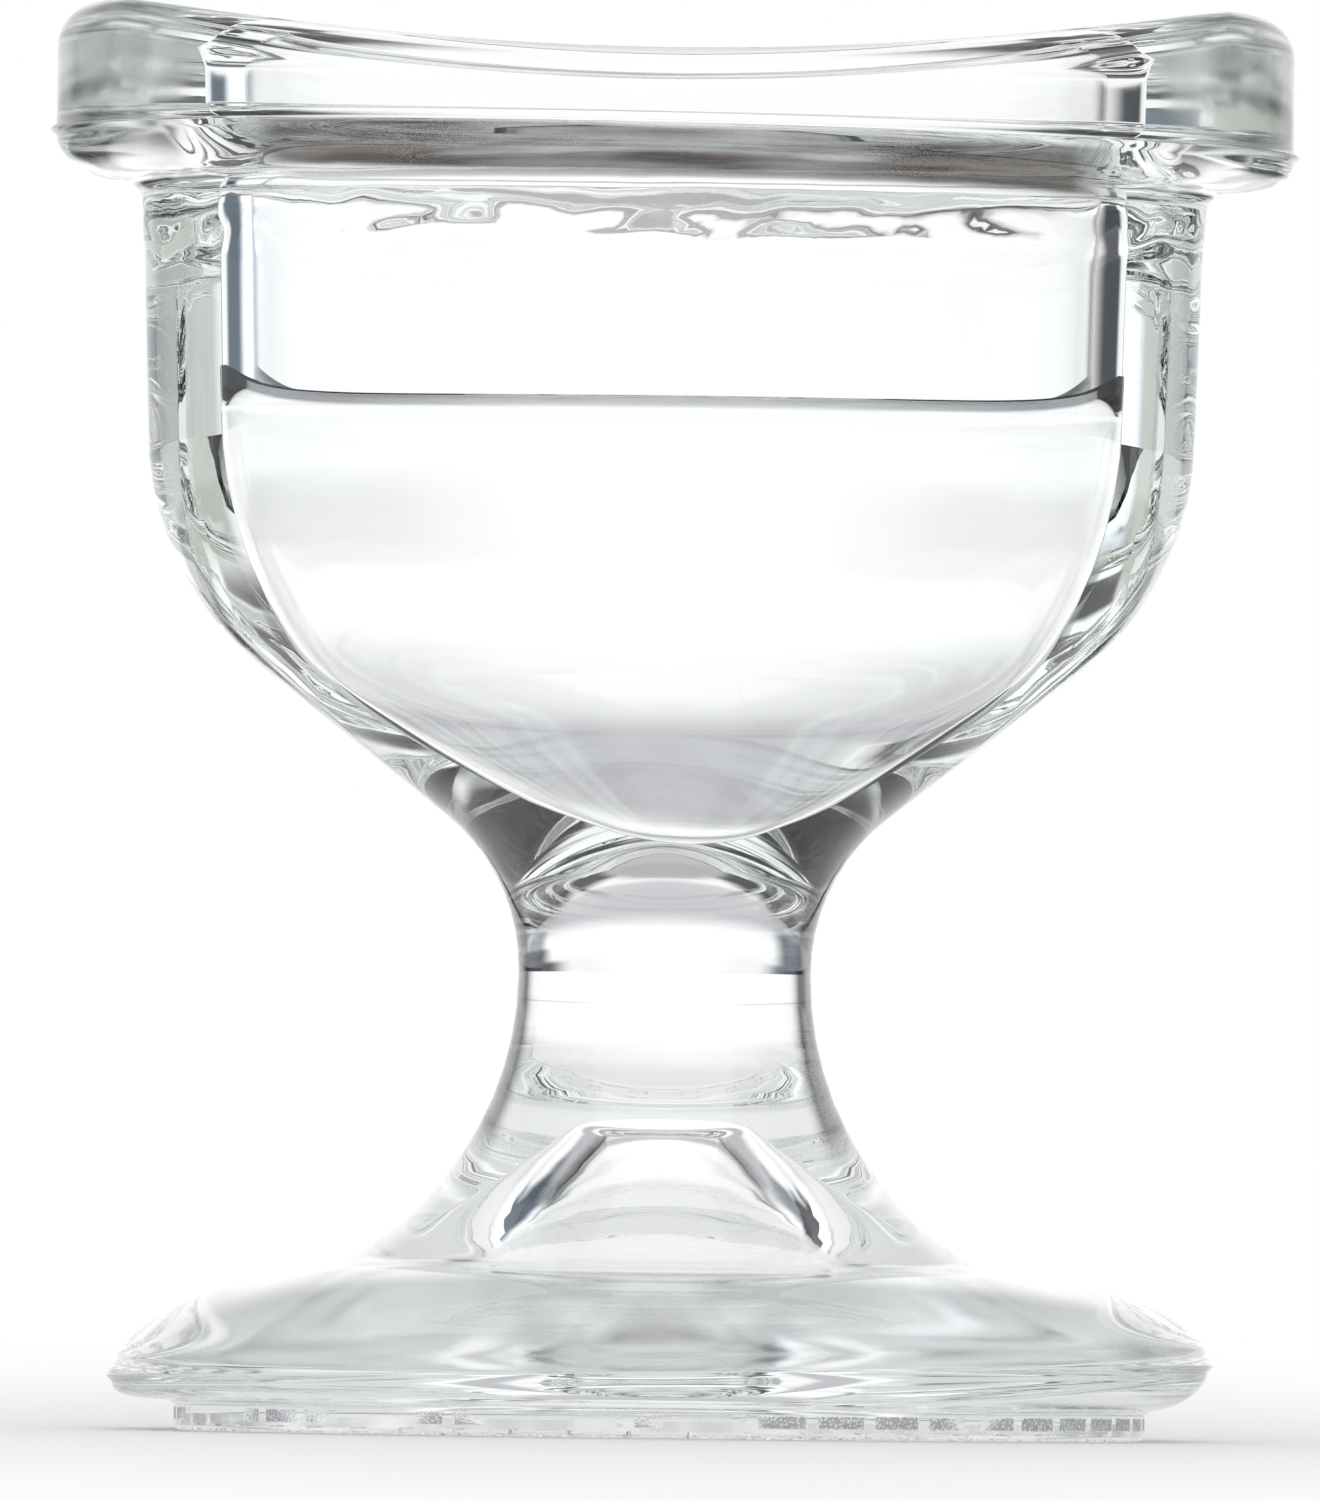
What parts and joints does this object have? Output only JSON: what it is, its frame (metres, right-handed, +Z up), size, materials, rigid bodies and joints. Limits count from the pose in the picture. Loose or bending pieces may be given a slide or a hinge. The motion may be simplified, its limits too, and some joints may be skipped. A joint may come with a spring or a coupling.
{
  "type": "eye bath",
  "caption": "Clear pressed glass eye bath: oval cup with a flanged saddle-shaped rim on a round waisted stem and a hollow foot, holding clear lotion for rinsing an eye.",
  "frame": {"origin": "centre of the base, on the plane that the bearing ring stands on", "axes": "+X along the oval's long way, +Y across it, +Z up"},
  "size_m": [0.05, 0.0444, 0.057],
  "materials": {
    "clear_glass": "clear, fire-polished after pressing",
    "lotion": "clear liquid"
  },
  "bodies": {
    "root": {"lip": "clear_glass", "flange": "clear_glass", "bowl": "clear_glass", "stem": "clear_glass", "foot": "clear_glass", "bearing_ring": "clear_glass", "eye_lotion": "lotion"}
  },
  "joints": []
}
